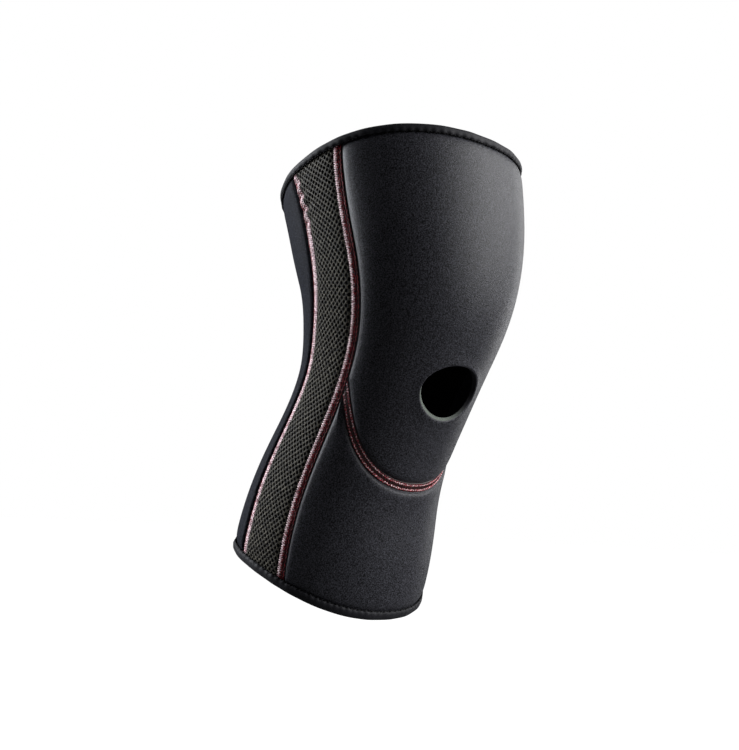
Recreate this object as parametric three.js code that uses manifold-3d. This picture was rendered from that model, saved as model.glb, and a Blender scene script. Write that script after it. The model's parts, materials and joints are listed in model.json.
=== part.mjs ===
// An open-patella knee sleeve in the form it takes on a slightly bent knee.
// The front faces -Y and the thigh end is up. The origin is on the leg's axis, level with the patella hole.
// Lengths are in millimetres. A rise is a place along the leg's axis, and a turn is an angle round it from
// the front.
import * as THREE from "three";
import Module from "manifold-3d";

const wasm = await Module();
wasm.setup();

// Outer size at the knee, and how far the cloth reaches up and down at the sides
const KNEE_WIDTH = 110;
const KNEE_DEPTH = 120;
const THIGH_REACH = 124;
const CALF_REACH = 133;

// How far both ends dip at the front and at the back, measured from their height at the sides
const THIGH_FRONT_DIP = 8;
const THIGH_BACK_DIP = 2.5;
const CALF_FRONT_DIP = 10.5;
const CALF_BACK_DIP = 1;

// Cloth thickness, the gap at each butt joint, and how far the netting lies below the neoprene's face
const NEOPRENE_WALL = 3;
const NETTING_WALL = 2.2;
const NETTING_SINK = 0.3;
const CLEARANCE = 0.3;

// Flat seams and the edging that is folded over both ends
const SEAM_WIDTH = 6;
const SEAM_HEIGHT = 0.6;
const BINDING_DEPTH = 6;
const BINDING_SKIN = 0.9;
const BINDING_ROLL = 2;

// The patella hole, and the U-shaped seam below it
const HOLE_WIDTH = 44;
const HOLE_HEIGHT = 36;
const KNEE_SEAM_DROP = 52.3;
const KNEE_SEAM_RISE = 45;

// The exponent that squares the leg's oval sections a little
const SQUARENESS = 0.9;

// The leg's sections from the calf end up. The height is a share of THIGH_REACH above the hole and of
// CALF_REACH below it. The set-back of the axis and the depth are shares of KNEE_DEPTH, and the width is a
// share of KNEE_WIDTH. The last two columns are the turns of the seams beside the netting, in degrees.
const SECTIONS = [
  { height: -1.08, back: 0.46, width: 1.132, depth: 1.051, frontSeam: 67.2, rearSeam: 101.7 },
  { height: -0.85, back: 0.39, width: 1.123, depth: 1.064, frontSeam: 70.8, rearSeam: 102.3 },
  { height: -0.6, back: 0.3, width: 1.054, depth: 1.011, frontSeam: 73.5, rearSeam: 106.2 },
  { height: -0.35, back: 0.173, width: 0.962, depth: 0.941, frontSeam: 75.6, rearSeam: 109.6 },
  { height: -0.1, back: 0.039, width: 0.951, depth: 0.961, frontSeam: 75, rearSeam: 106.7 },
  { height: 0.12, back: -0.041, width: 1.04, depth: 1.05, frontSeam: 72.1, rearSeam: 103.8 },
  { height: 0.35, back: -0.095, width: 1.164, depth: 1.16, frontSeam: 73.7, rearSeam: 100.9 },
  { height: 0.6, back: -0.097, width: 1.266, depth: 1.244, frontSeam: 78, rearSeam: 100.9 },
  { height: 0.85, back: -0.049, width: 1.336, depth: 1.292, frontSeam: 77.7, rearSeam: 102.2 },
  { height: 1.05, back: 0.005, width: 1.39, depth: 1.329, frontSeam: 74.7, rearSeam: 105.5 },
];

// How finely the cloth is divided
const FRONT_COLUMNS = 24;
const BACK_COLUMNS = 20;
const NETTING_COLUMNS = 4;
const FRONT_ROWS = 22;
const SHIN_ROWS = 10;
const LONG_ROWS = 26;
const SEAM_STEPS = 28;
const BINDING_STEPS = 48;
const HOLE_STEPS = 40;

// Materials
function cloth(name, color, roughness) {
  return new THREE.MeshStandardMaterial({ name, color, roughness, metalness: 0 });
}
const NEOPRENE = cloth("neoprene", 0x26272d, 0.9);
const NETTING = cloth("netting", 0x43463f, 0.85);
const EDGING = cloth("edging", 0x17171a, 0.7);
const THREAD = cloth("thread", 0x8c464d, 0.8);

// A natural cubic spline through the given values
function smoothThrough(marks, values) {
  const last = marks.length - 1;
  const bends = new Array(last + 1).fill(0);
  const carried = new Array(last + 1).fill(0);
  for (let i = 1; i < last; i += 1) {
    const before = marks[i] - marks[i - 1];
    const after = marks[i + 1] - marks[i];
    const turnOfSlope = (values[i + 1] - values[i]) / after - (values[i] - values[i - 1]) / before;
    const pivot = 2 * (before + after) - before * carried[i - 1];
    carried[i] = after / pivot;
    bends[i] = (6 * turnOfSlope - before * bends[i - 1]) / pivot;
  }
  for (let i = last - 1; i > 0; i -= 1) {
    bends[i] -= carried[i] * bends[i + 1];
  }
  return (mark) => {
    let i = 0;
    while (i < last - 1 && mark > marks[i + 1]) {
      i += 1;
    }
    const span = marks[i + 1] - marks[i];
    const low = (marks[i + 1] - mark) / span;
    const high = 1 - low;
    const bow = (low ** 3 - low) * bends[i] + (high ** 3 - high) * bends[i + 1];
    return low * values[i] + high * values[i + 1] + (bow * span * span) / 6;
  };
}

// The leg's form, from the table
const rises = SECTIONS.map((row) => row.height * (row.height > 0 ? THIGH_REACH : CALF_REACH));
function column(name, unit) {
  return smoothThrough(
    rises,
    SECTIONS.map((row) => row[name] * unit),
  );
}
const setBack = column("back", KNEE_DEPTH);
const halfWidth = column("width", KNEE_WIDTH / 2);
const halfDepth = column("depth", KNEE_DEPTH / 2);
const frontSeamTurn = column("frontSeam", THREE.MathUtils.DEG2RAD);
const rearSeamTurn = column("rearSeam", THREE.MathUtils.DEG2RAD);

function squared(wave) {
  return Math.sign(wave) * Math.abs(wave) ** SQUARENESS;
}

// The point at a rise and a turn, as far out from the neoprene's outer face as asked
function point(rise, turn, out) {
  const lean = Math.atan((setBack(rise + 1) - setBack(rise - 1)) / 2);
  const side = (halfWidth(rise) + out) * squared(Math.sin(turn));
  const front = (halfDepth(rise) + out) * squared(Math.cos(turn));
  return new THREE.Vector3(side, setBack(rise) - front * Math.cos(lean), rise + front * Math.sin(lean));
}

// The turn that covers a length round the leg
function turnFor(length, rise) {
  return (2 * length) / (halfWidth(rise) + halfDepth(rise));
}

// The rise of an end of the sleeve at each turn, from its rises at the side, front and back
function endLine(side, front, back) {
  const middle = (front + back) / 4;
  return (turn) =>
    middle + side / 2 + ((front - back) / 2) * Math.cos(turn) + (middle - side / 2) * Math.cos(2 * turn);
}
const thighEnd = endLine(THIGH_REACH, THIGH_REACH - THIGH_FRONT_DIP, THIGH_REACH - THIGH_BACK_DIP);
const calfEnd = endLine(-CALF_REACH, -CALF_REACH - CALF_FRONT_DIP, -CALF_REACH - CALF_BACK_DIP);
const clothTop = (turn) => thighEnd(turn) - BINDING_ROLL;
const clothBottom = (turn) => calfEnd(turn) + BINDING_ROLL;

// The U-shaped seam, which climbs from the shin's middle to the front seams
const kneeSeamEndTurn = frontSeamTurn(KNEE_SEAM_RISE - KNEE_SEAM_DROP);
function kneeSeam(turn) {
  const share = turn / kneeSeamEndTurn;
  return KNEE_SEAM_RISE * (0.75 * share ** 2 + 0.25 * share ** 6) - KNEE_SEAM_DROP;
}

// How much longer a slanting seam's width is when it is measured along the leg
function slantOfKneeSeam(turn) {
  const step = 0.01;
  const climb = kneeSeam(turn + step) - kneeSeam(turn - step);
  const run = (2 * step) / turnFor(1, kneeSeam(turn));
  return Math.hypot(1, climb / run);
}

// A closed solid through sections of equal count, each with an outer row and an inner row of points.
// A ring's last section joins its first. Otherwise both ends are capped from row to row.
function sweep(sections, ring) {
  const width = sections[0].outer.length;
  const loop = 2 * width;
  const positions = [];
  for (const section of sections) {
    for (const spot of [...section.outer, ...section.inner.toReversed()]) {
      positions.push(spot.x, spot.y, spot.z);
    }
  }
  const faces = [];
  const quad = (a, b, c, d) => faces.push(a, b, c, a, c, d);
  const joins = ring ? sections.length : sections.length - 1;
  for (let j = 0; j < joins; j += 1) {
    const here = j * loop;
    const next = ((j + 1) % sections.length) * loop;
    for (let i = 0; i < loop; i += 1) {
      const beside = (i + 1) % loop;
      quad(here + i, here + beside, next + beside, next + i);
    }
  }
  if (!ring) {
    const end = (sections.length - 1) * loop;
    for (let i = 0; i < width - 1; i += 1) {
      const facing = loop - 1 - i;
      quad(i + 1, i, facing, facing - 1);
      quad(end + i, end + i + 1, end + facing - 1, end + facing);
    }
  }
  const geometry = new THREE.BufferGeometry();
  geometry.setAttribute("position", new THREE.Float32BufferAttribute(positions, 3));
  geometry.setIndex(faces);
  return geometry;
}

// A piece of cloth between two lines along the leg and two lines across it
function panel(columns, rows, lines, top, wall) {
  const sections = [];
  for (let j = 0; j <= rows; j += 1) {
    const section = { outer: [], inner: [] };
    for (let i = 0; i <= columns; i += 1) {
      let rise = 0;
      let turn = 0;
      for (let pass = 0; pass < 8; pass += 1) {
        turn = THREE.MathUtils.lerp(lines.left(rise), lines.right(rise), i / columns);
        rise = THREE.MathUtils.lerp(lines.low(turn), lines.high(turn), j / rows);
      }
      section.outer.push(point(rise, turn, top));
      section.inner.push(point(rise, turn, top - wall));
    }
    sections.push(section);
  }
  return sweep(sections, false);
}

// A raised band of stitching. The place function gives its point at a share of its length, an offset across
// it and a height.
function seamBand(place) {
  const profile = [
    { across: -0.5, height: 0.5 },
    { across: -0.2, height: 1 },
    { across: 0.2, height: 1 },
    { across: 0.5, height: 0.5 },
  ];
  const sections = [];
  for (let step = 0; step <= SEAM_STEPS; step += 1) {
    const at = (row, height) => place(step / SEAM_STEPS, row.across * SEAM_WIDTH, CLEARANCE + height);
    sections.push({
      outer: profile.map((row) => at(row, row.height * SEAM_HEIGHT)),
      inner: profile.map((row) => at(row, 0)),
    });
  }
  return sweep(sections, false);
}

// Lines along the leg, a length to the rear of a seam on the +X side, and their mirror images
const besideSeam = (seamTurn, length) => (rise) => seamTurn(rise) + turnFor(length, rise);
const mirrored = (line) => (rise) => -line(rise);
const frontEdge = besideSeam(frontSeamTurn, -CLEARANCE / 2);
const nettingFront = besideSeam(frontSeamTurn, CLEARANCE / 2);
const nettingRear = besideSeam(rearSeamTurn, -CLEARANCE / 2);
const backEdge = besideSeam(rearSeamTurn, CLEARANCE / 2);

// The thigh and knee panel, before its hole is cut
function frontCloth() {
  const lines = {
    left: mirrored(frontEdge),
    right: frontEdge,
    low: (turn) => kneeSeam(turn) + (CLEARANCE / 2) * slantOfKneeSeam(turn),
    high: clothTop,
  };
  return panel(FRONT_COLUMNS, FRONT_ROWS, lines, 0, NEOPRENE_WALL);
}

// A plug of the patella hole's size that stands out of both faces of the cloth
function holePlug() {
  const reach = NEOPRENE_WALL;
  const climb = point(5, 0, 0).distanceTo(point(-5, 0, 0)) / 10;
  const edge = (angle, out) => {
    const rise = ((HOLE_HEIGHT / 2) * Math.sin(angle)) / climb;
    const side = ((HOLE_WIDTH / 2) * Math.cos(angle)) / halfWidth(rise);
    const turn = Math.sign(side) * Math.asin(Math.abs(side) ** (1 / SQUARENESS));
    return point(rise, turn, out);
  };
  const half = (sign, out) => {
    const spots = [];
    for (let step = HOLE_STEPS / 2; step > 0; step -= 1) {
      spots.push(edge((sign * (step - 0.5) * 2 * Math.PI) / HOLE_STEPS, out));
    }
    return spots;
  };
  const layer = (out) => ({ outer: half(1, out), inner: half(-1, out) });
  return sweep([layer(reach), layer(-NEOPRENE_WALL - reach)], false);
}

// A geometry as a manifold solid, and the first one with the second taken out of it
function asSolid(geometry) {
  const vertProperties = new Float32Array(geometry.attributes.position.array);
  const triVerts = new Uint32Array(geometry.index.array);
  return new wasm.Manifold(new wasm.Mesh({ numProp: 3, vertProperties, triVerts }));
}
function cutOut(geometry, plug) {
  const mesh = asSolid(geometry).subtract(asSolid(plug)).getMesh();
  const rest = new THREE.BufferGeometry();
  rest.setAttribute("position", new THREE.Float32BufferAttribute(mesh.vertProperties, 3));
  rest.setIndex([...mesh.triVerts]);
  return rest;
}

// The panel below the U-shaped seam
function shinCloth() {
  const lines = {
    left: mirrored(frontEdge),
    right: frontEdge,
    low: clothBottom,
    high: (turn) => kneeSeam(turn) - (CLEARANCE / 2) * slantOfKneeSeam(turn),
  };
  return panel(FRONT_COLUMNS, SHIN_ROWS, lines, 0, NEOPRENE_WALL);
}

// The panel behind the leg
function backCloth() {
  const lines = {
    left: backEdge,
    right: (rise) => 2 * Math.PI - backEdge(rise),
    low: clothBottom,
    high: clothTop,
  };
  return panel(BACK_COLUMNS, LONG_ROWS, lines, 0, NEOPRENE_WALL);
}

// A strip of netting, on the -X side or the +X side
function nettingCloth(side) {
  const lines = {
    left: side < 0 ? mirrored(nettingRear) : nettingFront,
    right: side < 0 ? mirrored(nettingFront) : nettingRear,
    low: clothBottom,
    high: clothTop,
  };
  return panel(NETTING_COLUMNS, LONG_ROWS, lines, -NETTING_SINK, NETTING_WALL);
}

// A seam along the leg, which ends short of both bindings
function longSeam(side, seamTurn) {
  return seamBand((share, offset, out) => {
    const middle = side * seamTurn(0);
    const low = calfEnd(middle) + BINDING_DEPTH + CLEARANCE;
    const high = thighEnd(middle) - BINDING_DEPTH - CLEARANCE;
    const rise = THREE.MathUtils.lerp(low, high, share);
    return point(rise, side * seamTurn(rise) + turnFor(offset, rise), out);
  });
}

// The seam between the front panel and the shin panel, which ends short of the front seams
function crossSeam() {
  return seamBand((share, offset, out) => {
    const end = kneeSeamEndTurn - turnFor(SEAM_WIDTH / 2 + CLEARANCE, 0);
    const turn = THREE.MathUtils.lerp(-end, end, share);
    return point(kneeSeam(turn) - offset * slantOfKneeSeam(turn), turn, out);
  });
}

// The edging folded over an end of the sleeve: up is 1 at the thigh end and -1 at the calf end
function binding(endRise, up) {
  const spread = NEOPRENE_WALL / 2 + CLEARANCE;
  const fold = (turn, skin) => {
    const spots = [];
    const place = (out, below) => point(endRise(turn) - up * below, turn, out - NEOPRENE_WALL / 2);
    spots.push(place(spread + skin, BINDING_DEPTH));
    for (let step = 0; step <= 4; step += 1) {
      const angle = (step * Math.PI) / 4;
      const lift = (BINDING_ROLL - BINDING_SKIN + skin) * Math.sin(angle);
      spots.push(place((spread + skin) * Math.cos(angle), BINDING_ROLL - lift));
    }
    spots.push(place(-spread - skin, BINDING_DEPTH));
    return spots;
  };
  const sections = [];
  for (let step = 0; step < BINDING_STEPS; step += 1) {
    const turn = (-up * step * 2 * Math.PI) / BINDING_STEPS;
    sections.push({ outer: fold(turn, BINDING_SKIN), inner: fold(turn, 0) });
  }
  return sweep(sections, true);
}

// The assembly
const sleeve = new THREE.Group();
function add(name, geometry, material) {
  geometry.computeVertexNormals();
  const mesh = new THREE.Mesh(geometry, material);
  mesh.name = name;
  sleeve.add(mesh);
}
add("front_panel", cutOut(frontCloth(), holePlug()), NEOPRENE);
add("shin_panel", shinCloth(), NEOPRENE);
add("back_panel", backCloth(), NEOPRENE);
add("side_mesh_left", nettingCloth(-1), NETTING);
add("side_mesh_right", nettingCloth(1), NETTING);
add("top_binding", binding(thighEnd, 1), EDGING);
add("bottom_binding", binding(calfEnd, -1), EDGING);
add("front_seam_left", longSeam(-1, frontSeamTurn), THREAD);
add("front_seam_right", longSeam(1, frontSeamTurn), THREAD);
add("rear_seam_left", longSeam(-1, rearSeamTurn), THREAD);
add("rear_seam_right", longSeam(1, rearSeamTurn), THREAD);
add("knee_seam", crossSeam(), THREAD);

export default sleeve;
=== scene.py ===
"""The looks of an open-patella knee sleeve, laid out as a Blender add-on and run as a script."""

import json
import math
from collections import namedtuple

import bpy
import numpy as np
from mathutils import Matrix, Vector

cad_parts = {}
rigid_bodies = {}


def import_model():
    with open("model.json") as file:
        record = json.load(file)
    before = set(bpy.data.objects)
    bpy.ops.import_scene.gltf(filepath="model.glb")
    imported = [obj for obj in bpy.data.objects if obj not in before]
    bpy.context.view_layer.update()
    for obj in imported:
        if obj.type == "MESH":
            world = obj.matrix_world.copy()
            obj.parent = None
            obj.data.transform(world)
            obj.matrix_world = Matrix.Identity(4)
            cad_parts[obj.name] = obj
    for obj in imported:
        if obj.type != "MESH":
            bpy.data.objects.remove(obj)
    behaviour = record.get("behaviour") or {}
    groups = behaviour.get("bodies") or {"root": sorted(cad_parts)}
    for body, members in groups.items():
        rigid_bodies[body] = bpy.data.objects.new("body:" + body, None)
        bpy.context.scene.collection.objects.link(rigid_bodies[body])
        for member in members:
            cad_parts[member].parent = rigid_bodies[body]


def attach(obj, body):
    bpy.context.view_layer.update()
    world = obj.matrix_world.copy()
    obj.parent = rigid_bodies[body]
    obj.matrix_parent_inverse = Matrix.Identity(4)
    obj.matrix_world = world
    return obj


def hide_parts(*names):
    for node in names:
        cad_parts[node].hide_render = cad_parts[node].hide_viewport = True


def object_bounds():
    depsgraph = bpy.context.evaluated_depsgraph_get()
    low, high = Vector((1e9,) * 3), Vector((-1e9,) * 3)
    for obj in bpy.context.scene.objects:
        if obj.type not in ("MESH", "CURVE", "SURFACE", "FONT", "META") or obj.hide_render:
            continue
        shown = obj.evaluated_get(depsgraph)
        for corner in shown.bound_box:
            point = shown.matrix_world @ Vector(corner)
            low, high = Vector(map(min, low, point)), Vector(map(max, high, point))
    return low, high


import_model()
CAD_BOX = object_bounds()

bl_info = {
    "name": "Knee Sleeve",
    "version": (1, 0, 0),
    "blender": (4, 5, 0),
    "location": "View3D > Sidebar > Knee Sleeve",
    "description": "Builds a neoprene knee sleeve with netting strips, flat seams and rolled bindings",
    "category": "Add Mesh",
}

# The leg's form, section by section from the calf end up. The height is a share of the thigh reach above
# the patella hole and of the calf reach below it. The set-back and the depth are shares of the knee's
# depth, and the width is a share of its width. The seams are turns round the leg in degrees.
Section = namedtuple("Section", "height back width depth front_seam rear_seam")
SECTIONS = (
    Section(-1.08, 0.46, 1.132, 1.051, 67.2, 101.7),
    Section(-0.85, 0.39, 1.123, 1.064, 70.8, 102.3),
    Section(-0.6, 0.3, 1.054, 1.011, 73.5, 106.2),
    Section(-0.35, 0.173, 0.962, 0.941, 75.6, 109.6),
    Section(-0.1, 0.039, 0.951, 0.961, 75, 106.7),
    Section(0.12, -0.041, 1.04, 1.05, 72.1, 103.8),
    Section(0.35, -0.095, 1.164, 1.16, 73.7, 100.9),
    Section(0.6, -0.097, 1.266, 1.244, 78, 100.9),
    Section(0.85, -0.049, 1.336, 1.292, 77.7, 102.2),
    Section(1.05, 0.005, 1.39, 1.329, 74.7, 105.5),
)
SQUARENESS = 0.9

# The leg's radius and the length round an end of the sleeve, as shares of the knee's width
RADIUS = 0.62
ROUND_END = 4.2

# How far apart the points are that measure a slope, along the leg and as a turn
RISE_STEP = 0.001
TURN_STEP = 0.015

# The worn cloth's soft folds: their depth, their waves along and round the leg, how they sway and lean, and
# how far the pull of an end and of a hem reaches
FOLD_DEPTH = 0.00018
FOLDS_ALONG = 62
FOLDS_ROUND = 3
FOLD_SWAY = 2.1
FOLD_LEAN = 25
END_REACH = 0.007
HEM_REACH = 0.0022

# How much deeper a seam presses the cloth at its edge, as a share of its groove, and how far that reaches
# and fades
PRESS_SHARE = 0.35
PRESS_REACH = 0.0003
PRESS_FADE = 0.00012

# How much narrower the padding beside a seam is at the knee than far above it, and within what reach
NARROWING = 0.35
NARROWING_REACH = 0.05

# Puckers beside the rear seams: their rise as a share of the thigh reach, and in metres how far they lie in
# front of the seam, their reach along and round the leg, and their depth. A ridge lies above each, at a
# multiple of its reach and with a share of its depth.
Pucker = namedtuple("Pucker", "rise ahead along round depth")
PUCKERS = (
    Pucker(0.915, 0.004, 0.0026, 0.005, 0.0015),
    Pucker(0.84, 0.003, 0.0024, 0.0045, 0.0014),
    Pucker(0.765, 0.0035, 0.0026, 0.005, 0.0024),
    Pucker(0.685, 0.003, 0.0026, 0.0045, 0.0013),
)
RIDGE_RISE = 1.6
RIDGE_SHARE = 0.5

# The depth of the netting's yarn, the share of it above the lining, and the gap between cloths that meet
YARN_DEPTH = 0.0007
YARN_ABOVE = 0.8
CLOTH_GAP = 0.0003

SIDES = ((-1, "left"), (1, "right"))


# Sizes and colours that a user would change


def length(name, description, default):
    return bpy.props.FloatProperty(name=name, description=description, default=default, unit="LENGTH")


def colour(name, description, default):
    return bpy.props.FloatVectorProperty(
        name=name, description=description, default=default, subtype="COLOR", min=0, max=1
    )


class KneeSleeveSizes(bpy.types.PropertyGroup):
    """The sleeve's sizes"""

    knee_width: length("Knee width", "Outer width at the knee", 0.110)
    knee_depth: length("Knee depth", "Outer depth at the knee", 0.120)
    thigh_reach: length("Thigh reach", "From the patella hole up to the thigh end, at the sides", 0.124)
    calf_reach: length("Calf reach", "From the patella hole down to the calf end, at the sides", 0.133)
    thigh_front_dip: length("Thigh front dip", "How much lower the thigh end is in front", 0.008)
    thigh_back_dip: length("Thigh back dip", "How much lower the thigh end is behind", 0.0025)
    calf_front_dip: length("Calf front dip", "How much lower the calf end is in front", 0.0105)
    calf_back_dip: length("Calf back dip", "How much lower the calf end is behind", 0.001)
    neoprene_wall: length("Neoprene", "Thickness of the neoprene", 0.003)
    netting_wall: length("Netting", "Thickness of the netting and its lining", 0.0022)
    netting_sink: length("Netting sink", "How far the netting lies below the neoprene's face", 0.0003)
    seam_width: length("Seam width", "Width of a flat seam", 0.006)
    top_hem: length("Top hem", "How far the edging is folded down at the thigh end", 0.005)
    bottom_hem: length("Bottom hem", "How far the edging is folded up at the calf end", 0.006)
    binding_skin: length("Binding skin", "Thickness of the edging", 0.0009)
    binding_roll: length("Binding roll", "Height of the edging's round fold", 0.002)
    hole_width: length("Hole width", "Width of the patella hole, straight across", 0.044)
    hole_height: length("Hole height", "Height of the patella hole along the cloth", 0.036)
    knee_seam_drop: length("Knee seam drop", "From the hole down to the knee seam's lowest point", 0.0523)
    knee_seam_rise: length("Knee seam rise", "How far the knee seam climbs to the front seams", 0.045)
    hem_pitch: length("Hem pitch", "Half the distance between the gathers of the edging's hems", 0.0025)
    groove: length("Groove", "How deep a seam pulls the cloth in", 0.0019)
    padding: length("Padding", "How far beside a seam the neoprene is pulled in", 0.0038)
    hem_pull: length("Hem pull", "How deep the edging's hems pull the cloth in", 0.0009)
    end_pull: length("End pull", "How deep the edging's ends press into the leg", 0.0014)
    hole_lip: length("Hole lip", "How wide the turned-in cut edge of the patella hole is", 0.0015)
    net_pitch: length("Net pitch", "Distance between the netting's holes round the leg", 0.0037)
    net_row: length("Net row", "Distance between the netting's rows of holes", 0.00195)
    net_hole: bpy.props.FloatProperty(
        name="Net hole", description="A hole's width as a share of its mesh", default=0.84, min=0.1, max=0.9
    )
    floor_drop: length("Floor drop", "From the calf end down to the floor", 0.11)


class KneeSleeveColours(bpy.types.PropertyGroup):
    """The sleeve's colours"""

    neoprene: colour("Neoprene", "Jersey face of the front and shin panels", (0.018, 0.0182, 0.022))
    back_neoprene: colour("Back neoprene", "Jersey face of the back panel", (0.0115, 0.0123, 0.0168))
    foam: colour("Foam", "Cut edge of the neoprene", (0.1, 0.115, 0.1))
    netting: colour("Netting", "Yarn of the netting", (0.038, 0.0345, 0.026))
    lining: colour("Lining", "Cloth behind the netting", (0.004, 0.004, 0.0045))
    edging: colour("Edging", "Folded edging at both ends", (0.008, 0.008, 0.01))
    # The pale thread is real in the long seams, and its flecks in the knee seam are painted highlights
    # standing for the red threads' glints.
    pale_thread_and_glints: colour("Pale thread", "Thread beside the netting and in the knee seam", (0.7, 0.5, 0.52))
    red_thread: colour("Red thread", "Thread beside the neoprene", (0.27, 0.012, 0.022))
    floor: colour("Floor", "Studio floor", (1, 1, 1))


# The leg's form


def smooth_through(marks, values):
    """A natural cubic spline through the given values."""
    marks = np.array(marks, float)
    values = np.array(values, float)
    count = len(marks)
    spans = np.diff(marks)
    slopes = np.diff(values) / spans
    system = np.eye(count)
    changes = np.zeros(count)
    for i in range(1, count - 1):
        system[i, i - 1 : i + 2] = (spans[i - 1], 2 * (spans[i - 1] + spans[i]), spans[i])
        changes[i] = 6 * (slopes[i] - slopes[i - 1])
    bends = np.linalg.solve(system, changes)

    def value(mark):
        i = np.clip(np.searchsorted(marks, mark) - 1, 0, count - 2)
        low = (marks[i + 1] - mark) / spans[i]
        high = 1 - low
        bow = (low**3 - low) * bends[i] + (high**3 - high) * bends[i + 1]
        return low * values[i] + high * values[i + 1] + bow * spans[i] ** 2 / 6

    return value


def squared(wave):
    return np.sign(wave) * np.abs(wave) ** SQUARENESS


def fading(distance, reach):
    return np.exp(-((distance / reach) ** 2))


def unit(vectors):
    return vectors / np.linalg.norm(vectors, axis=-1, keepdims=True)


def travelled(line):
    """How far each point of a line is from its start, along the line."""
    return np.concatenate([[0], np.cumsum(np.linalg.norm(np.diff(line, axis=0), axis=1))])


def end_line(side, front, back):
    """The rise of an end of the sleeve at each turn, from its rises at the side, front and back."""
    middle = (front + back) / 4

    def rise(turn):
        swing = (front - back) / 2 * np.cos(turn) + (middle - side / 2) * np.cos(2 * turn)
        return middle + side / 2 + swing

    return rise


class Leg:
    """The sleeve's form: a rise is a place along the leg's axis, and a turn is an angle round it."""

    def __init__(self, sizes):
        self.sizes = sizes
        self.radius = sizes.knee_width * RADIUS
        reaches = (sizes.calf_reach, sizes.thigh_reach)
        rises = [row.height * reaches[row.height > 0] for row in SECTIONS]

        def column(name, unit):
            return smooth_through(rises, [getattr(row, name) * unit for row in SECTIONS])

        self.set_back = column("back", sizes.knee_depth)
        self.half_width = column("width", sizes.knee_width / 2)
        self.half_depth = column("depth", sizes.knee_depth / 2)
        self.front_seam = column("front_seam", math.pi / 180)
        self.rear_seam = column("rear_seam", math.pi / 180)
        up = sizes.thigh_reach
        down = -sizes.calf_reach
        self.thigh_end = end_line(up, up - sizes.thigh_front_dip, up - sizes.thigh_back_dip)
        self.calf_end = end_line(down, down - sizes.calf_front_dip, down - sizes.calf_back_dip)
        self.seam_end_turn = self.front_seam(sizes.knee_seam_rise - sizes.knee_seam_drop)

    def face(self, rise, turn):
        """The smooth outer face."""
        climb = self.set_back(rise + RISE_STEP) - self.set_back(rise - RISE_STEP)
        lean = np.arctan(climb / (2 * RISE_STEP))
        side = self.half_width(rise) * squared(np.sin(turn))
        front = self.half_depth(rise) * squared(np.cos(turn))
        back = self.set_back(rise) - front * np.cos(lean)
        return np.stack([side, back, rise + front * np.sin(lean)], axis=-1)

    def outward(self, rise, turn):
        """The direction straight out of the face."""
        along = self.face(rise + RISE_STEP, turn) - self.face(rise - RISE_STEP, turn)
        across = self.face(rise, turn + TURN_STEP) - self.face(rise, turn - TURN_STEP)
        return unit(np.cross(across, along))

    def folds(self, rise, turn):
        """How far out the worn cloth lies from the smooth face."""
        waves = np.sin(FOLDS_ALONG * rise + FOLD_SWAY * np.sin(turn + 0.4))
        height = FOLD_DEPTH * waves * np.sin(FOLDS_ROUND * turn + FOLD_LEAN * rise)
        for pucker in PUCKERS:
            along = (rise - pucker.rise * self.sizes.thigh_reach) / pucker.along
            ahead = (self.rear_seam(rise) - np.abs(wrapped(turn))) / self.turn_for(1, rise)
            round_leg = (ahead - pucker.ahead) / pucker.round
            ridge = RIDGE_SHARE * fading(along - RIDGE_RISE, 1)
            height = height + pucker.depth * (ridge - fading(along, 1)) * fading(round_leg, 1)
        from_end = np.maximum(0, np.minimum(self.thigh_end(turn) - rise, rise - self.calf_end(turn)))
        return height - self.sizes.end_pull * fading(from_end, END_REACH)

    def point(self, rise, turn, out):
        rise, turn, out = np.broadcast_arrays(rise, turn, out)
        height = out + self.folds(rise, turn)
        return self.face(rise, turn) + self.outward(rise, turn) * height[..., None]

    def turn_for(self, distance, rise):
        """The turn that covers a distance round the leg."""
        return 2 * distance / (self.half_width(rise) + self.half_depth(rise))

    def low_edge(self, turn):
        """The rise of the cloth's edge inside the edging's fold at the calf end."""
        return self.calf_end(turn) + self.sizes.binding_roll

    def high_edge(self, turn):
        """The same at the thigh end."""
        return self.thigh_end(turn) - self.sizes.binding_roll

    def knee_seam(self, turn):
        share = turn / self.seam_end_turn
        climb = 0.75 * share**2 + 0.25 * share**6
        return self.sizes.knee_seam_rise * climb - self.sizes.knee_seam_drop

    def knee_seam_slant(self, turn):
        """How much longer the knee seam's width is when it is measured along the leg."""
        step = 0.01
        climb = self.knee_seam(turn + step) - self.knee_seam(turn - step)
        run = 2 * step / self.turn_for(1, self.knee_seam(turn))
        return np.hypot(1, climb / run)

    def from_side_seams(self, rise, turn):
        """The distance to the nearer of the seams along the leg."""
        turn = np.abs(wrapped(turn))
        gap = np.minimum(np.abs(turn - self.front_seam(rise)), np.abs(turn - self.rear_seam(rise)))
        return gap / self.turn_for(1, rise)

    def from_knee_seam(self, rise, turn):
        return np.abs(rise - self.knee_seam(turn)) / self.knee_seam_slant(turn)

    def pulled(self, rise, turn, distance, padding):
        """How far out the cloth lies: it is pulled in beside a seam at a distance and beside the hems."""
        beside = np.maximum(0, distance - self.sizes.seam_width / 2)
        pressed = PRESS_SHARE * (1 - np.tanh((beside - PRESS_REACH) / (2 * PRESS_FADE))) / 2
        padding = padding * (1 - NARROWING * (1 - np.tanh(rise / NARROWING_REACH)))
        seam = -self.sizes.groove * (np.exp(-beside / padding) + pressed)
        below = self.thigh_end(turn) - self.sizes.top_hem - rise
        above = rise - self.calf_end(turn) - self.sizes.bottom_hem
        from_hem = np.maximum(0, np.minimum(below, above))
        hem = -self.sizes.hem_pull * np.exp(-from_hem / HEM_REACH)
        return np.minimum(seam, hem)


def wrapped(turn):
    """A turn from minus a half turn to a half turn."""
    return (turn + math.pi) % (2 * math.pi) - math.pi


# Meshes

# How wide the margin with the finer steps is
FINE_MARGIN = 0.009


def placed(name, data):
    """An object in the scene with its mesh, light or camera."""
    piece = bpy.data.objects.new(name, data)
    bpy.context.scene.collection.objects.link(piece)
    return piece


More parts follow.
